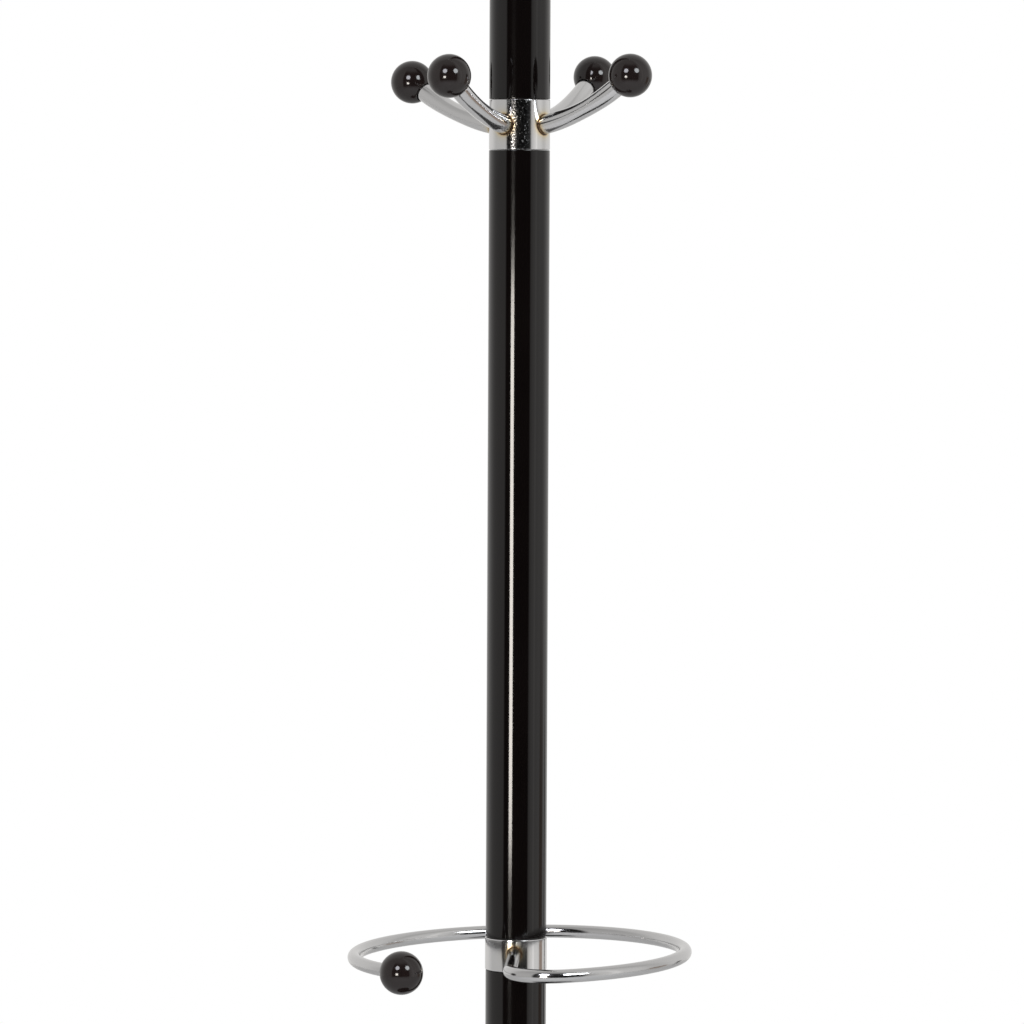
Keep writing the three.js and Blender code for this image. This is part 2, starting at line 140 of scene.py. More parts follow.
# ---- Surfaces ---------------------------------------------------------------------------------------
def flat_line(start, heading, stretches, step):
    """Centre line in a plane, from straight and round stretches (length, curvature) that meet smoothly.

    Along a stretch the heading grows by the distance times the curvature. On a straight the point moves by
    the distance times (cos, sin) of the heading; on a bend it moves by the radius times the growth of
    (sin, -cos) of the heading. Returns the distances, the points and the headings.
    """
    distances, points, headings = [], [], []
    origin, turn, travelled = np.array(start, float), heading, 0.0
    for length, curvature in stretches:
        along = np.linspace(0, length, max(2, math.ceil(length / step) + 1))
        angle = turn + along * curvature
        if curvature:
            moved = np.stack([np.sin(angle) - math.sin(turn), math.cos(turn) - np.cos(angle)], 1) / curvature
        else:
            moved = along[:, None] * np.array([math.cos(turn), math.sin(turn)])
        distances.append(travelled + along[:-1])
        points.append(origin + moved[:-1])
        headings.append(angle[:-1])
        origin, turn, travelled = origin + moved[-1], angle[-1], travelled + length
    distances.append([travelled])
    points.append([origin])
    headings.append([turn])
    return np.concatenate(distances), np.concatenate(points), np.concatenate(headings)


class CentreLine:
    """A flat line laid into space: a point (x, y) of the plane is origin + x * u + y * v.

    A bar's line also has the distance of its joint with the collar, and the two distances between which
    the bar is squeezed. Where fall is given as (height, reach), the line starts that height above its
    plane and falls evenly until it meets the plane at that distance.
    """

    def __init__(self, origin, u, v, flat, joint=0, squeezed=(0, 1), fall=(0, 1)):
        self.distances, self.points, self.headings = flat
        self.origin, self.u, self.v = (np.array(item, float) for item in (origin, u, v))
        self.across = np.cross(self.u, self.v)
        self.length = self.distances[-1]
        self.joint, self.squeezed, self.fall = joint, squeezed, fall

    def at(self, distance):
        """Centres, tangents and in-plane normals at some distances along the line."""
        x = np.interp(distance, self.distances, self.points[:, 0])[:, None]
        y = np.interp(distance, self.distances, self.points[:, 1])[:, None]
        angle = np.interp(distance, self.distances, self.headings)[:, None]
        height, reach = self.fall
        above = height * np.clip(1 - np.array(distance) / reach, 0, 1)[:, None]
        centre = self.origin + x * self.u + y * self.v + above * self.across
        tangent = np.cos(angle) * self.u + np.sin(angle) * self.v
        normal = np.cos(angle) * self.v - np.sin(angle) * self.u
        return centre, tangent, normal

    def here(self, distance):
        """The centre, the tangent and the in-plane normal at one distance."""
        return [item[0] for item in self.at(np.array([distance]))]


def axis_line(origin, direction=(0, 0, 1)):
    """A straight centre line that passes through a point at distance 0 and is far longer than the rack."""
    direction = np.array(direction, float) / np.linalg.norm(direction)
    helper = np.array([1.0, 0, 0]) if abs(direction[0]) < 0.9 else np.array([0, 1.0, 0])
    side = np.cross(direction, helper)
    side = np.cross(side, direction) / np.linalg.norm(side)
    far = 1e4
    flat = (np.array([-far, far]), np.array([[-far, 0], [far, 0]]), np.zeros(2))
    return CentreLine(origin, direction, side, flat)


UPRIGHT = axis_line((0, 0, 0))


def heading_vector(heading):
    """The level direction at a heading: (sin, -cos) of it."""
    turn = math.radians(heading)
    return np.array([math.sin(turn), -math.cos(turn), 0])


def circle(sides):
    """Points (cos, sin, 0) evenly round a circle."""
    turn = np.arange(sides) * (2 * math.pi / sides)
    return np.stack([np.cos(turn), np.sin(turn), np.zeros(sides)], -1)


def carried(line, profile, sides):
    """Points of a profile carried round a centre line.

    A row of the profile is (distance along the line, half width in its plane, half width across it), and
    its points are centre + half width * cos(turn) * normal + half width * sin(turn) * across.
    """
    distance, in_plane, across = np.array(profile, float).T
    centre, _, normal = line.at(distance)
    round_unit = circle(sides)
    return (centre[:, None]
            + in_plane[:, None, None] * round_unit[None, :, :1] * normal[:, None]
            + across[:, None, None] * round_unit[None, :, 1:2] * line.across)


def skin(name, points, material, looped=False, heat=None, grain=None):
    """A closed mesh over a grid of points [row, side], in millimetres.

    The sides close on themselves. The first and last rows either meet one another, where looped is true,
    or have each shrunk to a point, which becomes one pole of triangles. Heat and grain are attributes with
    a value for each point of the grid.
    """
    rows, sides, _ = points.shape
    ids = np.arange(rows * sides).reshape(rows, sides)
    if not looped:
        ids[0], ids[-1] = ids[0, 0], ids[-1, 0]
    used, ids = np.unique(ids, return_inverse=True)
    ids = ids.reshape(rows, sides)
    if looped:
        ids = np.vstack([ids, ids[:1]])
    beside = np.roll(ids, -1, 1)
    quads = np.stack([ids[:-1], beside[:-1], beside[1:], ids[1:]], -1)
    if looped:
        faces = quads.reshape(-1, 4).tolist()
    else:
        faces = (quads[1:-1].reshape(-1, 4).tolist() + quads[0][:, [0, 2, 3]].tolist()
                 + quads[-1][:, [0, 1, 2]].tolist())
    mesh = bpy.data.meshes.new(name)
    mesh.from_pydata((points.reshape(-1, 3)[used] * MM).tolist(), [], faces)
    if heat is not None:
        tint = mesh.attributes.new("braze_heat", "FLOAT", "POINT")
        tint.data.foreach_set("value", heat.reshape(-1)[used].astype(np.float32))
    if grain is not None:
        drawn = mesh.attributes.new("drawn_grain", "FLOAT_VECTOR", "POINT")
        drawn.data.foreach_set("vector", grain.reshape(-1, 3)[used].astype(np.float32).reshape(-1))
    mesh.shade_smooth()
    mesh.materials.append(material)
    piece = bpy.data.objects.new(name, mesh)
    bpy.context.scene.collection.objects.link(piece)
    return piece


def outline(corners):
    """A profile through corners (radius, height, rounding), each corner an arc of its rounding.

    The arc's centre lies on the corner's bisector, and the arc touches both sides at rounding / tan(half
    the corner's angle). A row is added a little beyond each end of the arc, which keeps the flats flat.
    """
    points = np.array([corner[:2] for corner in corners], float)
    rows = []
    for index, (radius, height, rounding) in enumerate(corners):
        here = points[index]
        if not rounding or index in (0, len(corners) - 1):
            rows.append(here[None])
            continue
        back, ahead = points[index - 1] - here, points[index + 1] - here
        back_length, ahead_length = np.linalg.norm(back), np.linalg.norm(ahead)
        back, ahead = back / back_length, ahead / ahead_length
        half = math.acos(np.clip(back @ ahead, -1, 1)) / 2
        reach = rounding / math.tan(half)
        bisector = (back + ahead) / np.linalg.norm(back + ahead)
        centre = here + bisector * rounding / math.sin(half)
        swing = (math.pi / 2 - half) * np.linspace(-1, 1, CORNER_STEPS + 1)
        side = (ahead - back) / np.linalg.norm(ahead - back)
        arc = centre - rounding * (np.cos(swing)[:, None] * bisector - np.sin(swing)[:, None] * side)
        spare = min(back_length, ahead_length) - reach
        beyond = reach + min(rounding, 0.4 * spare)
        rows.append(np.vstack([here + back * beyond, arc, here + ahead * beyond]))
    return np.concatenate(rows)


def stepped(profile, step):
    """The profile with rows added on its straight runs, so that none is further than step from the next."""
    rows = [profile[:1]]
    for start, end in zip(profile[:-1], profile[1:]):
        count = max(1, math.ceil(np.linalg.norm(end - start) / step))
        rows.append(start + (end - start) * np.linspace(0, 1, count + 1)[1:, None])
    return np.concatenate(rows)


def turned(name, profile, material, sides, line=UPRIGHT, looped=False, heat=None):
    """A piece turned about a straight line, from a profile of (radius, distance along the line) rows.

    Heat, where given, is a function of the piece's points.
    """
    points = carried(line, profile[:, [1, 0, 0]], sides)
    return skin(name, points, material, looped, heat(points) if heat else None)


def fit(piece, body, slot, *nodes):
    """A finished piece rides on its body and stands for its CAD nodes."""
    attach(piece, body)
    if nodes:
        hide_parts(*nodes)


def extent(node):
    """A CAD node's outer radius about the post's axis, its bottom and its top, in millimetres."""
    low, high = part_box(node)
    return high.x / MM, low.z / MM, high.z / MM


# ---- Shader maths -----------------------------------------------------------------------------------
class Field:
    """A shader socket that takes part in expressions: each operator adds one Math node."""

    def __init__(self, tree, socket):
        self.tree, self.socket = tree, socket

    def math(self, operation, *values):
        """One Math node on some fields or numbers."""
        return self.tree.node("ShaderNodeMath", {"operation": operation}, dict(enumerate(values)))

    def __add__(self, other):
        return self.math("ADD", self, other)

    __radd__ = __add__

    def __sub__(self, other):
        return self.math("SUBTRACT", self, other)

    def __rsub__(self, other):
        return self.math("SUBTRACT", other, self)

    def __mul__(self, other):
        return self.math("MULTIPLY", self, other)

    __rmul__ = __mul__


class Tree:
    """A node tree, of a material or of the world, that is filled one node at a time."""

    def __init__(self, owner):
        owner.use_nodes = True
        self.nodes, self.links = owner.node_tree.nodes, owner.node_tree.links
        self.nodes.clear()

    def node(self, kind, settings=None, inputs=None, output=0):
        """Adds a node of a type, with its settings and then its sockets.

        Returns one of its outputs, or a list of them where output is a tuple.
        """
        node = self.nodes.new(kind)
        for name, value in (settings or {}).items():
            if name == "stops":
                ramp = node.color_ramp.elements
                while len(ramp) < len(value):
                    ramp.new(1)
                for element, (position, tone) in zip(ramp, value):
                    element.position, element.color = position, (*tone, 1)
            else:
                setattr(node, name, value)
        for name, value in (inputs or {}).items():
            if isinstance(value, Field):
                self.links.new(value.socket, node.inputs[name])
            else:
                node.inputs[name].default_value = value
        if isinstance(output, tuple):
            return [Field(self, node.outputs[item]) for item in output]
        return Field(self, node.outputs[output]) if len(node.outputs) else node

    def place(self):
        """The point on the piece, in metres."""
        return self.node("ShaderNodeTexCoord", output="Object")

    def axes(self, vector):
        """The x, the y and the z of a vector."""
        return self.node("ShaderNodeSeparateXYZ", None, {0: vector}, output=(0, 1, 2))

    def heading(self, x, y):
        """The heading of a level direction, in degrees."""
        return x.math("ARCTAN2", x, 0 - y) * (180 / math.pi)

    def noise(self, size, detail=2.0, roughness=0.5, stretch=(1, 1, 1)):
        """Noise whose patches are about size millimetres across, stretched along an axis if wanted."""
        place = self.place()
        if stretch != (1, 1, 1):
            place = self.node("ShaderNodeMapping", None, {"Vector": place, "Scale": stretch})
        return self.node("ShaderNodeTexNoise", None, {
            "Vector": place, "Scale": 1 / (size * MM), "Detail": detail, "Roughness": roughness})

    def ramp(self, value, *stops):
        """The colour of a ramp with stops (position, colour) at a value."""
        return self.node("ShaderNodeValToRGB", {"stops": stops}, {0: value})

    def smooth(self, value, low, high, to_low=0.0, to_high=1.0):
        """A smooth step from one value to another while the field goes from low to high."""
        return self.node("ShaderNodeMapRange", {"interpolation_type": "SMOOTHSTEP"}, {
            "Value": value, "From Min": low, "From Max": high, "To Min": to_low, "To Max": to_high})

    def band(self, value, rise_from, rise_to, fall_from, fall_to):
        """One while the field is between two soft edges, and zero outside them."""
        return self.smooth(value, rise_from, rise_to) * self.smooth(value, fall_from, fall_to, 1.0, 0.0)

    def blend(self, factor, first, second):
        """A colour between two colours."""
        return self.node("ShaderNodeMix", {"data_type": "RGBA"}, {
            "Factor": factor, 6: first, 7: second}, output=2)

    def bump(self, height, depth, normal=None):
        """The normal of a surface whose height field is depth millimetres deep."""
        inputs = {"Height": height, "Distance": depth * MM, "Strength": 1.0}
        if normal:
            inputs["Normal"] = normal
        return self.node("ShaderNodeBump", None, inputs)


def finish_of(name, build):
    """A material whose Principled shader takes the sockets that build returns."""
    material = bpy.data.materials.new(name)
    tree = Tree(material)
    shader = tree.node("ShaderNodeBsdfPrincipled", None, build(tree))
    tree.node("ShaderNodeOutputMaterial", None, {"Surface": shader})
    return material


def colour(red, green, blue):
    """A colour as a socket takes it."""
    return red, green, blue, 1.0


# ---- Finishes ---------------------------------------------------------------------------------------
SCALED_FRONT = (-27, -22, 10, 24)    # the headings between which a crown's collar has specks


def polished_chrome(tree, level=0.70, scaled=False):
    """Chrome over ground steel: a little waviness, and straw and brown tints beside a braze.

    Level is how much light it sends back. Where scaled, the front between the two front arms has the specks
    and fine pits that scale leaves.
    """
    heat = tree.node("ShaderNodeAttribute", {"attribute_name": "braze_heat"}, output="Fac")
    blotches = tree.noise(1.6, 3)
    tinted = heat * (blotches * 0.9 + 0.55)
    tint = tree.ramp(tinted, (0.0, (level, level, level * 1.007)), (0.14, (0.71, 0.69, 0.64)),
                     (0.42, (0.76, 0.66, 0.48)), (0.66, (0.52, 0.37, 0.20)), (0.9, (0.08, 0.05, 0.03)))
    haze = tree.noise(14, 4, 0.6)
    grain = tree.node("ShaderNodeAttribute", {"attribute_name": "drawn_grain"}, output="Vector")
    lines = tree.node("ShaderNodeTexNoise", None, {"Vector": grain, "Scale": 9.0, "Detail": 3.0})
    normal = tree.bump(lines, 0.02, tree.bump(tree.noise(5, 1), 0.004))
    roughness = 0.08 + haze * 0.06 + heat * 0.12
    if scaled:
        x, y, _ = tree.axes(tree.place())
        zone = tree.band(tree.heading(x, y), *SCALED_FRONT)
        specks = tree.smooth(tree.noise(1.2, 2, 0.8), 0.38, 0.54) * zone
        tint = tree.blend(specks * 0.88, tint, colour(0.03, 0.028, 0.03))
        dust = tree.smooth(tree.noise(1.3, 1), 0.60, 0.70) * zone
        roughness = roughness + dust * 0.2
        normal = tree.bump(tree.noise(1.6, 1) * zone, 0.032, normal)
    return {"Base Color": tint, "Metallic": 1.0, "Roughness": roughness, "Normal": normal}


def scaled_chrome(tree):
    """Chrome on a crown's collar, whose front kept some scale."""
    return polished_chrome(tree, scaled=True)


def painted_shade_chrome(tree):
    """Chrome on the umbrella ring's drawn rod, a little darker: painted shade, a dimmer copy of the chrome
    that stands in for the darker reflections the ring shows.
    """
    return polished_chrome(tree, 0.60)


def black_enamel(tree):
    """Gloss black stove enamel on tube: orange peel, the odd speck of dust, and hardly any colour."""
    peel = tree.bump(tree.noise(2.6, 2), 0.002)
    specks = tree.smooth(tree.noise(1.1, 0), 0.72, 0.80)
    shade = tree.noise(60, 2)
    return {
        "Base Color": tree.blend(shade, colour(0.0022, 0.0014, 0.0013), colour(0.0042, 0.0030, 0.0028)),
        "Roughness": 0.055 + tree.noise(30, 3) * 0.045,
        "IOR": 1.47,
        "Normal": tree.bump(specks, 0.002, peel),
    }


def cast_enamel(tree):
    """Thick black enamel over sand casting: soft grain, glossier where it pooled."""
    grain = tree.bump(tree.noise(1.4, 4, 0.6), 0.03)
    return {
        "Base Color": tree.blend(
            tree.noise(40, 3), colour(0.007, 0.007, 0.007), colour(0.016, 0.0155, 0.015)),
        "Roughness": 0.22 + tree.noise(9, 3) * 0.2,
        "Normal": tree.bump(tree.noise(11, 2), 0.12, grain),
    }


def black_plastic(tree):
    """Gloss black moulded plastic with faint flow marks and handling scratches."""
    flow = tree.bump(tree.noise(7, 2), 0.004)
    scuffs = tree.smooth(tree.noise(0.8, 2, stretch=(1, 1, 7)), 0.68, 0.76)
    return {
        "Base Color": tree.blend(
            tree.noise(5, 2), colour(0.0100, 0.0062, 0.0058), colour(0.0145, 0.0098, 0.0092)),
        "Roughness": 0.07 + tree.noise(6, 3) * 0.05 + scuffs * 0.1,
        "IOR": 1.5,
        "Normal": flow,
    }


def rubber(tree):
    """Matt black rubber, dusty in patches."""
    return {
        "Base Color": tree.blend(tree.noise(3, 4), colour(0.011, 0.011, 0.011), colour(0.03, 0.029, 0.028)),
        "Roughness": 0.72 + tree.noise(2, 3) * 0.2,
        "Normal": tree.bump(tree.noise(0.5, 3), 0.04),
    }


def zinc_steel(tree):
    """Zinc-plated steel: pale grey crystals with a faint yellow cast."""
    crystals = tree.node("ShaderNodeTexVoronoi", None, {"Vector": tree.place(), "Scale": 1 / (1.8 * MM)})
    return {
        "Base Color": tree.blend(crystals, colour(0.55, 0.56, 0.55), colour(0.72, 0.71, 0.66)),
        "Metallic": 1.0,
        "Roughness": 0.3 + tree.noise(1.5, 3) * 0.2,
        "Normal": tree.bump(tree.noise(0.6, 3), 0.01),
    }


def floor_paint(tree):
    """Pale matt floor."""
    return {
        "Base Color": tree.blend(tree.noise(260, 4), colour(0.70, 0.70, 0.70), colour(0.73, 0.73, 0.725)),
        "Roughness": 0.8,
    }


CHROME = finish_of("polished_chrome", polished_chrome)
SCALED_CHROME = finish_of("scaled_chrome", scaled_chrome)
# painted shade: the ring's chrome is a dimmer copy of the other chrome, standing in for its darker
# reflections
PAINTED_SHADE_CHROME = finish_of("painted_shade_chrome", painted_shade_chrome)
ENAMEL = finish_of("black_enamel", black_enamel)
CAST = finish_of("cast_enamel", cast_enamel)
PLASTIC = finish_of("black_plastic", black_plastic)
RUBBER = finish_of("rubber", rubber)
ZINC = finish_of("zinc_steel", zinc_steel)


# ---- Post -------------------------------------------------------------------------------------------
def post_tube(node):
    """A tube section, with its wall, its bore and its ends eased under the enamel."""
    radius, bottom, top = extent(node)
    bore, middle = radius - TUBE_WALL, (bottom + top) / 2
    profile = outline([
        (bore, middle, 0), (bore, bottom, 0.3), (radius, bottom, 0.45), (radius, top, 0.45),
        (bore, top, 0.3), (bore, middle, 0)])[:-1]
    piece = turned(f"{node}_skin", profile, ENAMEL, TUBE_SIDES, looped=True)
    fit(piece, "stand", "black_enamel", node)


def ferrule():
    """The chromed ring round the foot of the post, tapered at its top."""
    radius, bottom, top = extent("post_ferrule")
    post = extent("lower_post_tube")[0]
    bore, middle = post + FERRULE_CLEARANCE, (bottom + top) / 2
    taper_from = bottom + (top - bottom) * 0.6
    profile = outline([
        (bore, middle, 0), (bore, bottom, 0.2), (radius, bottom, 0.6), (radius, taper_from, 3),
        (post + FERRULE_TIP, top, 0.5), (bore, top, 0.2), (bore, middle, 0)])[:-1]
    piece = turned("post_ferrule_skin", profile, CHROME, TUBE_SIDES, looped=True)
    fit(piece, "stand", "chrome", "post_ferrule")


def top_cap():
    """A domed plastic cap: a short skirt, a quarter of an ellipse to the top, and a blind bore below."""
    radius, bottom, top = extent("top_cap")
    quarter = np.linspace(0, math.pi / 2, CAP_ROWS)[:, None]
    shoulder = bottom + CAP_SKIRT
    dome = np.hstack([radius * np.cos(quarter), shoulder + (top - shoulder) * np.sin(quarter)])
    bore_end = bottom + CAP_BORE_DEPTH
    under = outline([
        (0, bore_end, 0), (CAP_BORE_RADIUS, bore_end, 0.2), (CAP_BORE_RADIUS, bottom, 0.3),
        (radius, bottom, 0.4), (radius, shoulder, 0)])
    profile = np.vstack([under[:-1], dome])
    profile[-1, 0] = 0
    fit(turned("top_cap_skin", profile, PLASTIC, CAP_SIDES), "stand", "black_plastic", "top_cap")


# ---- Base -------------------------------------------------------------------------------------------
def base_casting():
    """The base: rounded rim, dished top, a hub that flares up in a quarter of an ellipse, and a recess."""
    radius, bottom, hub_top = extent("base_casting")
    floor_by_hub = hub_top - HUB_RISE
    floor_by_rim = floor_by_hub - DISH_FALL
    rim_middle, rim_half = (radius + DISH_RADIUS) / 2, (radius - DISH_RADIUS) / 2
    rim_centre = floor_by_rim + DISH_DEPTH - rim_half
    half_turn = np.linspace(0, math.pi, RIM_ROWS)[:, None]
    rim = np.hstack([rim_middle + rim_half * np.cos(half_turn), rim_centre + rim_half * np.sin(half_turn)])
    quarter = np.linspace(0, math.pi / 2, FLARE_ROWS)[:, None]
    flare = np.hstack([HUB_FOOT_RADIUS - (HUB_FOOT_RADIUS - HUB_RADIUS) * np.sin(quarter),
                       hub_top - HUB_RISE * np.cos(quarter)])
    recess_middle, recess_top = bottom + RECESS_DEPTH / 2, bottom + RECESS_DEPTH
    lower = outline([
        (RECESS_RADIUS, recess_middle, 0), (RECESS_RADIUS, bottom, 0.5), (radius, bottom, BASE_EDGE),
        (radius, rim_centre, 0)])
    dish = outline([(*rim[-1], 0), (DISH_RADIUS, floor_by_rim, 5), (HUB_FOOT_RADIUS, floor_by_hub, 0)])
    bore = outline([
        (HUB_RADIUS, hub_top, 0), (BOLT_HOLE_RADIUS, hub_top, 0.4), (BOLT_HOLE_RADIUS, recess_top, 0.4),
        (RECESS_RADIUS, recess_top, 1), (RECESS_RADIUS, recess_middle, 0)])
    profile = stepped(np.vstack([lower[:-1], rim[:-1], dish[:-1], flare[:-1], bore[:-1]]), BASE_STEP)
    piece = turned("base_casting_skin", profile, CAST, BASE_SIDES, looped=True)
    fit(piece, "stand", "cast_enamel", "base_casting")


def foot(node):
    """A moulded foot: rounded tread with a shallow groove round it, and a peg up into the base."""
    low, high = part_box(node)
    axis = axis_line(((low.x + high.x) / 2 / MM, (low.y + high.y) / 2 / MM, 0))
    radius, top = (high.y - low.y) / 2 / MM, high.z / MM
    groove = radius - FOOT_GROOVE_INSET
    profile = outline([
        (0, 0, 0), (groove - 1, 0, 0.2), (groove - 0.4, FOOT_GROOVE_DEPTH, 0.2),
        (groove + 0.4, FOOT_GROOVE_DEPTH, 0.2), (groove + 1, 0, 0.3), (radius, 0, 1),
        (radius, FOOT_HEIGHT, 0.5), (FOOT_PEG_RADIUS, FOOT_HEIGHT, 0.3), (FOOT_PEG_RADIUS, top, 0.6),
        (0, top, 0)])
    fit(turned(f"{node}_skin", profile, RUBBER, FOOT_SIDES, axis), "stand", "rubber", node)


# ---- Bars and balls ---------------------------------------------------------------------------------
def bent_bar(node, body, line, radius, stud_radius, flattening, spread, finish):
    """A bar bent along a line, with a blind bore in its end for the ball's stud.

    Between two distances of the line its section is squeezed: the half width in the bend's plane falls by
    a share, and the one across it grows, as the square of a sine.
    """
    distance = line.distances
    start, end = line.squeezed
    squeeze = np.sin(math.pi * np.clip((distance - start) / (end - start), 0, 1)) ** 2
    outside = np.stack([distance, radius * (1 - flattening * squeeze), radius * (1 + spread * squeeze)], 1)
    length = line.length
    bottom = length - STUD_DEPTH_IN_ROD
    inside = [(length, stud_radius, stud_radius), (bottom, stud_radius, stud_radius), (bottom, 0, 0)]
    profile = np.vstack([[(distance[0], 0, 0)], outside, inside])
    along = profile[:, :1]
    heat = np.repeat(np.exp(-np.abs(along - line.joint) / HEAT_REACH), BAR_SIDES, 1)
    grain = circle(BAR_SIDES)[None] + along[:, None] * np.array([0, 0, 1 / GRAIN_LENGTH])
    piece = skin(f"{node}_skin", carried(line, profile, BAR_SIDES), finish, heat=heat, grain=grain)
    fit(piece, body, "chrome", node)


def bored_ball(node, body, line, rod_radius, stud_radius):
    """A ball on the end of a line, bored for the rod and then for its stud, with a rounded lip."""
    end, direction, _ = line.here(line.length)
    axis = axis_line(end + direction * (BALL_RADIUS - BALL_SEAT), direction)
    mouth = rod_radius + BALL_BORE_CLEARANCE
    lip_turn = math.asin((mouth + BALL_LIP) / BALL_RADIUS)
    lip_height = -BALL_RADIUS * math.cos(lip_turn)
    rod_end = BALL_SEAT - BALL_RADIUS
    seat, deep = rod_end + BALL_SEAT_CLEARANCE, rod_end + STUD_DEPTH_IN_BALL
    inside = outline([
        (0, deep, 0), (stud_radius, deep, 0.2), (stud_radius, seat, 0.2), (mouth, seat, 0.2),
        (mouth, lip_height - 0.1, BALL_LIP * 0.8), (mouth + BALL_LIP, lip_height, 0)])
    turn = np.linspace(lip_turn, math.pi, BALL_ROWS)[:, None]
    sphere = np.hstack([BALL_RADIUS * np.sin(turn), -BALL_RADIUS * np.cos(turn)])
    profile = np.vstack([inside[:-1], sphere])
    profile[-1, 0] = 0
    piece = turned(f"{node}_ball_skin", profile, PLASTIC, BALL_SIDES, axis)
    fit(piece, body, "black_plastic", f"{node}_ball")


def braze(node, body, line, bar_radius, collar_radius):
    """The fillet of brazing metal where a bar enters its collar.

    Round the bar, the fillet's section is a hollow quarter circle that touches the bar and the collar. A
    point of it lies a distance out from the bar's centre line and a height above the collar, and the way
    along the line to that height is the root of the square equation for the collar's round wall.
    """
    centre, direction, normal = line.here(line.joint)
    quarter = np.linspace(0, math.pi / 2, BRAZE_ROWS)
    out = np.append(bar_radius + BRAZE_FILLET * (1 - np.cos(quarter)), bar_radius - BRAZE_DEPTH_IN_BAR)
    height = np.append(BRAZE_FILLET * (1 - np.sin(quarter)), -BRAZE_DEPTH_IN_COLLAR)
    out[0] -= BRAZE_OVERLAP
    out[-2] += BRAZE_OVERLAP
    height[-2] = -BRAZE_OVERLAP
    start = centre + out[:, None, None] * (circle(BRAZE_SIDES) @ np.stack([normal, line.across, direction]))
    wall = (collar_radius + height)[:, None]
    level = direction[:2]
    a = level @ level
    b = start[..., :2] @ level
    c = (start[..., :2] ** 2).sum(-1) - wall ** 2
    along = (np.sqrt(b * b - a * c) - b) / a
    points = start + along[..., None] * direction
    # hottest in the middle of the hollow, cooler where it meets the bar and where it meets the collar
    last = BRAZE_ROWS - 1
    heat = np.interp(np.arange(len(out)), [0, last / 2, last, BRAZE_ROWS], [0.75, 1.3, 0.8, 1])
    heat = np.repeat(heat[:, None], BRAZE_SIDES, 1)
    piece = skin(f"{node}_braze", points[::-1], CHROME, looped=True, heat=heat[::-1])
    fit(piece, body, "chrome")


def arm_line(collar_radius, middle, heading, droop, shape):
    """An arm's centre line, from inside the collar's wall, along a rising arc, to the straight in the ball.

    It passes through the collar's surface at the droop's pivot, and lies in the upright plane through the
    post's axis at its heading.
    """
    rise = math.radians(ARM_START_ANGLE - droop)
    root = (collar_radius - ROOT_RADIUS) / math.cos(rise)
    outwards = heading_vector(heading)
    round_length = math.radians(shape["sweep"]) * shape["bend"] - BALL_RADIUS
    stretches = [(root, 0), (round_length, 1 / shape["bend"]), (BALL_SEAT, 0)]
    start = (-root * math.cos(rise), -root * math.sin(rise))
    return CentreLine(outwards * collar_radius + np.array([0, 0, middle]), outwards, (0, 0, 1),
                      flat_line(start, rise, stretches, ARM_STEP), joint=root,
                      squeezed=(root + ARM_SQUEEZE_START, root + round_length))


def arm(node, body, collar, heading, droop, shape):
    """One arm with its brazed joint and its ball. Returns its centre line."""
    collar_radius, bottom, top = extent(collar)
    line = arm_line(collar_radius, (bottom + top) / 2, heading, droop, shape)
    bent_bar(node, body, line, ARM_RADIUS, ARM_STUD_RADIUS, ARM_FLATTENING, ARM_SPREAD, CHROME)
    braze(node, body, line, ARM_RADIUS, collar_radius)
    bored_ball(node, body, line, ARM_RADIUS, ARM_STUD_RADIUS)
    return line


def collar_ring(node, body, lines, bar_radius, finish):
    """A collar with eased edges. The heat of brazing fades with the distance from each bar's joint."""
    radius, bottom, top = extent(node)
    bore, middle = COLLAR_BORE_RADIUS, (bottom + top) / 2
    rows = np.linspace(bottom + 1, top - 1, COLLAR_ROWS)[:, None]
    wall = np.hstack([np.full_like(rows, radius), rows])
    lower = outline([(bore, middle, 0), (bore, bottom, 0.3), (radius, bottom, 0.4), (radius, top, 0)])
    upper = outline([(radius, bottom, 0), (radius, top, 0.4), (bore, top, 0.3), (bore, middle, 0)])
    profile = np.vstack([lower[:-1], wall, upper[1:-1]])
    joints = np.array([line.here(line.joint)[0] for line in lines])

    def heat(points):
        reach = np.linalg.norm(points[:, :, None] - joints, axis=-1).min(-1) - bar_radius
        return np.exp(-np.maximum(reach, 0) / HEAT_REACH)

    piece = turned(f"{node}_skin", profile, finish, COLLAR_SIDES, looped=True, heat=heat)
    fit(piece, body, "chrome", node)


def crown(body, arm_name, arms, shape):
    """A collar and the arms brazed into it."""
    collar = f"{body}_collar"
    lines = [arm(f"{arm_name}_{index + 1}", body, collar, heading, droop, shape)
             for index, (heading, droop) in enumerate(arms)]
    collar_ring(collar, body, lines, ARM_RADIUS, SCALED_CHROME)


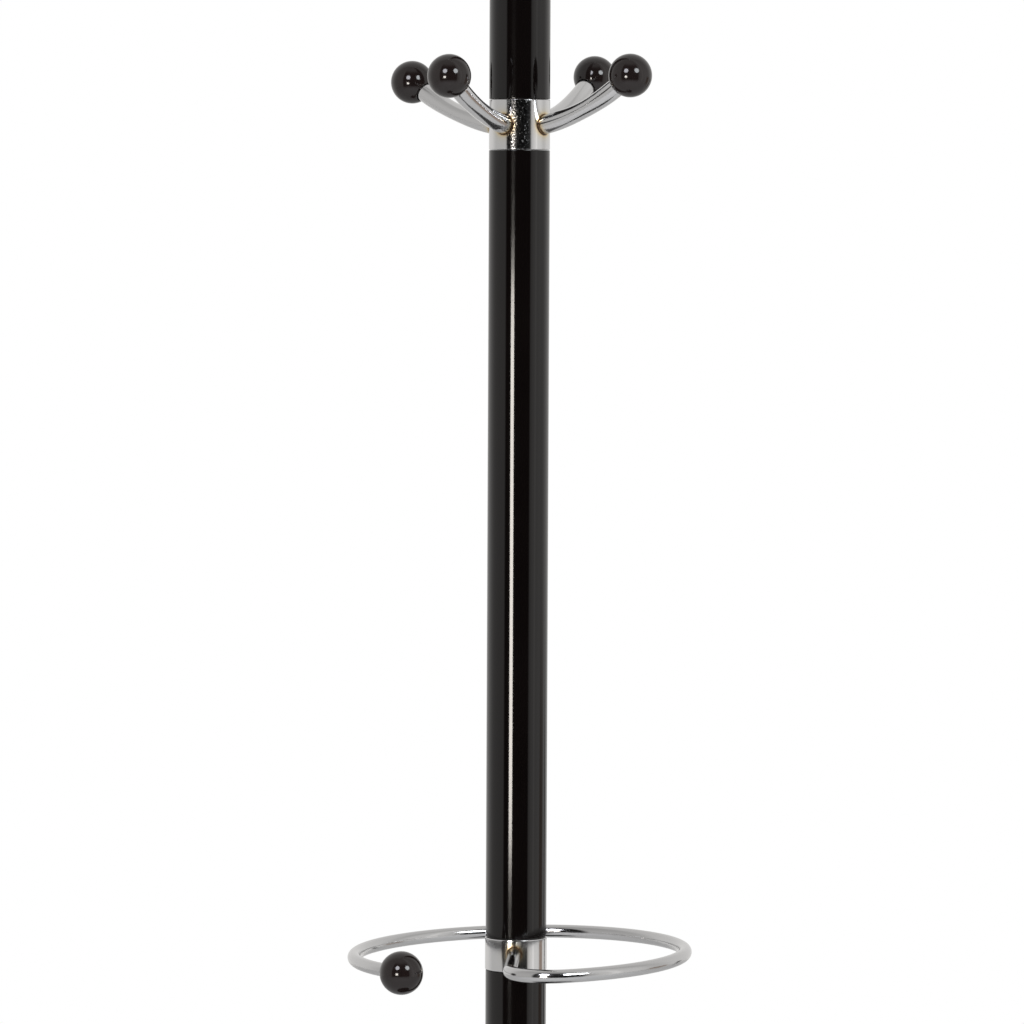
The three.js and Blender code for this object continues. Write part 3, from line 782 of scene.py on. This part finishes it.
# ---- Umbrella ring ----------------------------------------------------------------------------------
def ring_line(collar_radius, middle):
    """The ring's centre line: a falling stem out of the collar, a sharp bend, and a long arc round the post.

    The sharp bend touches the stem and, from inside, the ring's circle, so its centre is one bend radius
    from the stem and a bend radius less than the ring's radius from the ring's centre. The plane is rolled
    about the front-to-back line and then nodded about the side-to-side line.
    """
    stem = heading_vector(RING_STEM_HEADING)[:2]
    inwards = np.array([-stem[1], stem[0]])
    centre = np.array([RING_OFFSET, 0.0])
    from_centre = inwards * RING_STEM_BEND - centre
    half = from_centre @ stem
    reach = RING_RADIUS - RING_STEM_BEND
    stem_length = math.sqrt(half * half - from_centre @ from_centre + reach * reach) - half
    touch = stem * stem_length + inwards * RING_STEM_BEND - centre
    heading = math.atan2(stem[1], stem[0])
    ring_from = math.atan2(touch[1], touch[0])
    ring_to = math.radians(RING_END_HEADING - 90) + 2 * math.pi - BALL_RADIUS / RING_RADIUS
    bend_start = stem_length - ROOT_RADIUS
    bend_length = (ring_from + math.pi / 2 - heading) * RING_STEM_BEND
    stretches = [(bend_start, 0), (bend_length, 1 / RING_STEM_BEND),
                 ((ring_to - ring_from) * RING_RADIUS, 1 / RING_RADIUS), (BALL_SEAT, 0)]
    nod, roll = math.radians(RING_NOD), math.radians(-RING_ROLL)
    u = (math.cos(roll), math.sin(nod) * math.sin(roll), -math.cos(nod) * math.sin(roll))
    v = (0, math.cos(nod), math.sin(nod))
    squeezed = (bend_start - RING_SQUEEZE_BEFORE, bend_start + bend_length + RING_SQUEEZE_AFTER)
    return CentreLine((0, 0, middle - RING_DROP), u, v,
                      flat_line(stem * ROOT_RADIUS, heading, stretches, RING_STEP),
                      joint=collar_radius - ROOT_RADIUS, squeezed=squeezed,
                      fall=(RING_STEM_LIFT, bend_start))


def umbrella_holder():
    """The ring, its brazed stem, its ball and its collar."""
    node, body = "umbrella_ring", "umbrella_holder"
    radius, bottom, top = extent("umbrella_collar")
    line = ring_line(radius, (bottom + top) / 2)
    # the ring takes the dimmer chrome copy, painted shade for its darker reflections
    bent_bar(node, body, line, RING_ROD_RADIUS, RING_STUD_RADIUS, RING_FLATTENING, RING_SPREAD, PAINTED_SHADE_CHROME)
    braze(node, body, line, RING_ROD_RADIUS, radius)
    bored_ball(node, body, line, RING_ROD_RADIUS, RING_STUD_RADIUS)
    collar_ring("umbrella_collar", body, [line], RING_ROD_RADIUS, CHROME)


# ---- The rack ---------------------------------------------------------------------------------------
for section in ("lower", "middle", "upper"):
    post_tube(f"{section}_post_tube")
ferrule()
top_cap()
base_casting()
for name in sorted(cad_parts):
    if name.startswith("foot_"):
        foot(name)
    elif name.endswith(("_plug", "_stud", "_core", "_washer", "_bolt")):
        for material_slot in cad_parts[name].material_slots:
            material_slot.material = ZINC
crown("lower_crown", "short_arm", LOWER_CROWN_ARMS, SHORT_ARM)
crown("top_crown", "long_arm", TOP_CROWN_ARMS, LONG_ARM)
umbrella_holder()


# ---- Studio, in metres ------------------------------------------------------------------------------
CAMERA_PLACE = (0, -3.8, 1.032)
CAMERA_LENS = 210.3
CAMERA_SENSOR = 36       # the sensor's width; this and the lens are in millimetres
CAMERA_PITCH = 2.964     # degrees down
CAMERA_YAW = 0.056       # degrees to the left
CAMERA_ROLL = 0.254      # degrees anticlockwise, seen from behind the camera

FLOOR_RADIUS = 3.4
FLOOR_FADE_RADIUS = 0.9  # where the floor starts to fade
FLOOR_SUNK = 0.0002      # how far below the feet it lies
FLOOR_RINGS = 12
FLOOR_SIDES = 96

LAMP_AIM_HEIGHT = 0.9

# What stands round the rack, as bands of headings or of heights above level, with soft edges, in degrees
OPENING_HEADINGS = (-54, -47, 41, 47)
OPENING_HEIGHTS = (-46, -26, 42, 68)
OPENING_LEVEL = 0.015
STRIP_HEADINGS = (62, 66, 69, 73)
STRIP_LEVEL = 0.2
RIGHT_HEADINGS = (47, 58, 84, 110)
RIGHT_LEVEL = 0.2
BEHIND_HEADINGS = (95, 130)          # one soft edge, to the left and to the right alike
BEHIND_LEVEL = 0.2
LOW_HEIGHTS = (-32, -24, -6, -3.5)
BROWN_HEADINGS = (96, 99, 115, 118)
DARK_HEADINGS = (129, 132, 136, 139)
DARK_SHARE = 0.9


def set_up(item, right, up, ahead, place):
    """Links a camera or a lamp, at a place and looking ahead."""
    matrix = np.eye(4)
    matrix[:3] = np.stack([right, up, -ahead, place], 1)
    item.matrix_world = Matrix(matrix.tolist())
    bpy.context.scene.collection.objects.link(item)


def camera():
    """A long lens in front of the rack, a little above its middle and looking slightly down."""
    data = bpy.data.cameras.new("camera")
    data.lens, data.sensor_width = CAMERA_LENS, CAMERA_SENSOR
    data.clip_start, data.clip_end = 0.05, 100
    pitch, yaw, roll = (math.radians(angle) for angle in (CAMERA_PITCH, -CAMERA_YAW, CAMERA_ROLL))
    ahead = np.array([math.sin(yaw) * math.cos(pitch), math.cos(yaw) * math.cos(pitch), -math.sin(pitch)])
    level = np.array([math.cos(yaw), -math.sin(yaw), 0])
    upright = np.cross(level, ahead)
    right = math.cos(roll) * level + math.sin(roll) * upright
    up = math.cos(roll) * upright - math.sin(roll) * level
    item = bpy.data.objects.new("camera", data)
    set_up(item, right, up, ahead, CAMERA_PLACE)
    bpy.context.scene.camera = item


def floor():
    """A pale round floor that fades into the white background at its edge.

    Its points are the centre, and then radius * (cos, sin) for each ring.
    """
    radii = np.linspace(0, FLOOR_RADIUS, FLOOR_RINGS)[1:]
    rings = (radii[:, None, None] * circle(FLOOR_SIDES)).reshape(-1, 3)
    points = np.vstack([np.zeros(3), rings]) - [0, 0, FLOOR_SUNK]
    ids = np.arange(len(rings)).reshape(-1, FLOOR_SIDES) + 1
    beside = np.roll(ids, -1, 1)
    quads = np.stack([ids[:-1], ids[1:], beside[1:], beside[:-1]], -1)
    faces = (np.stack([np.zeros_like(ids[0]), ids[0], beside[0]], -1).tolist()
             + quads.reshape(-1, 4).tolist())
    mesh = bpy.data.meshes.new("floor")
    mesh.from_pydata(points.tolist(), [], faces)
    material = bpy.data.materials.new("floor_paint")
    tree = Tree(material)
    paint = tree.node("ShaderNodeBsdfPrincipled", None, floor_paint(tree))
    clear = tree.node("ShaderNodeBsdfTransparent")
    from_axis = tree.node("ShaderNodeVectorMath", {"operation": "LENGTH"}, {0: tree.place()}, output="Value")
    fade = tree.smooth(from_axis, FLOOR_FADE_RADIUS, FLOOR_RADIUS)
    tree.node("ShaderNodeOutputMaterial", None, {
        "Surface": tree.node("ShaderNodeMixShader", None, {0: fade, 1: paint, 2: clear})})
    mesh.materials.append(material)
    item = bpy.data.objects.new("floor", mesh)
    bpy.context.scene.collection.objects.link(item)


def studio_lamp(name, heading, height, distance, shape, width, tall, radiance, tint):
    """A lamp with an even face, aimed at the rack and not seen by the camera."""
    data = bpy.data.lights.new(name, "AREA")
    data.shape, data.size, data.size_y = shape, width, tall
    area = width * tall * (math.pi / 4 if shape == "ELLIPSE" else 1)
    data.energy, data.color = radiance * math.pi * area, tint
    item = bpy.data.objects.new(name, data)
    item.visible_camera = False
    place = heading_vector(heading) * distance + np.array([0, 0, height])
    aim = np.array([0, 0, LAMP_AIM_HEIGHT]) - place
    aim /= np.linalg.norm(aim)
    side = np.cross(aim, [0, 0, 1])
    side /= np.linalg.norm(side)
    set_up(item, side, np.cross(side, aim), aim, place)


def surroundings():
    """A white tent round the rack, open and dark on the front, where the camera stands.

    The dark opening is a block of headings and heights with soft edges. The cloth is darker at the bottom
    and towards the top, and brighter to the right and behind. Behind to the right, low down, stand something
    brown and, beside it, something narrow and dark. The camera itself sees only white.
    """
    world = bpy.data.worlds.new("tent")
    bpy.context.scene.world = world
    tree = Tree(world)
    direction = tree.node("ShaderNodeTexCoord", output="Generated")
    x, y, z = tree.axes(direction)
    heading = tree.heading(x, y)
    height = z.math("ARCSINE", z) * (180 / math.pi)
    opening = tree.band(heading, *OPENING_HEADINGS) * tree.band(height, *OPENING_HEIGHTS)
    behind = tree.smooth(heading.math("ABSOLUTE", heading), *BEHIND_HEADINGS, 0.0, BEHIND_LEVEL)
    cloth = tree.smooth(height, -60, 0, 0.44, 0.57) - tree.smooth(height, 12, 60, 0.0, 0.09)
    strip = tree.band(heading, *STRIP_HEADINGS) * STRIP_LEVEL
    right = tree.band(heading, *RIGHT_HEADINGS) * RIGHT_LEVEL
    level = (cloth + behind) * (1 - opening) + opening * OPENING_LEVEL + strip + right
    low = tree.band(height, *LOW_HEIGHTS)
    brown = tree.band(heading, *BROWN_HEADINGS) * low
    dark = tree.band(heading, *DARK_HEADINGS) * low
    tint = tree.blend(brown, colour(1, 0.985, 0.965), colour(0.52, 0.41, 0.34))
    strength = level * (1 - dark * DARK_SHARE)
    lit = tree.node("ShaderNodeBackground", None, {"Color": tint, "Strength": strength})
    seen = tree.node("ShaderNodeBackground", None, {"Color": colour(1, 1, 1), "Strength": 1.0})
    camera_ray = tree.node("ShaderNodeLightPath", output="Is Camera Ray")
    tree.node("ShaderNodeOutputWorld", None, {
        "Surface": tree.node("ShaderNodeMixShader", None, {0: camera_ray, 1: lit, 2: seen})})


camera()
floor()
surroundings()
studio_lamp("window", heading=-23.2, height=0.50, distance=5.0, shape="RECTANGLE", width=1.05, tall=0.84,
            radiance=22, tint=(1.0, 0.94, 0.87))
studio_lamp("left_umbrella", heading=-23, height=2.53, distance=3.2, shape="ELLIPSE", width=1.3, tall=1.3,
            radiance=11, tint=(0.93, 0.93, 1.0))
studio_lamp("right_umbrella", heading=36, height=2.53, distance=3.2, shape="ELLIPSE", width=1.4, tall=1.4,
            radiance=10, tint=(0.93, 0.97, 1.0))
bpy.context.scene.view_settings.view_transform = "Standard"
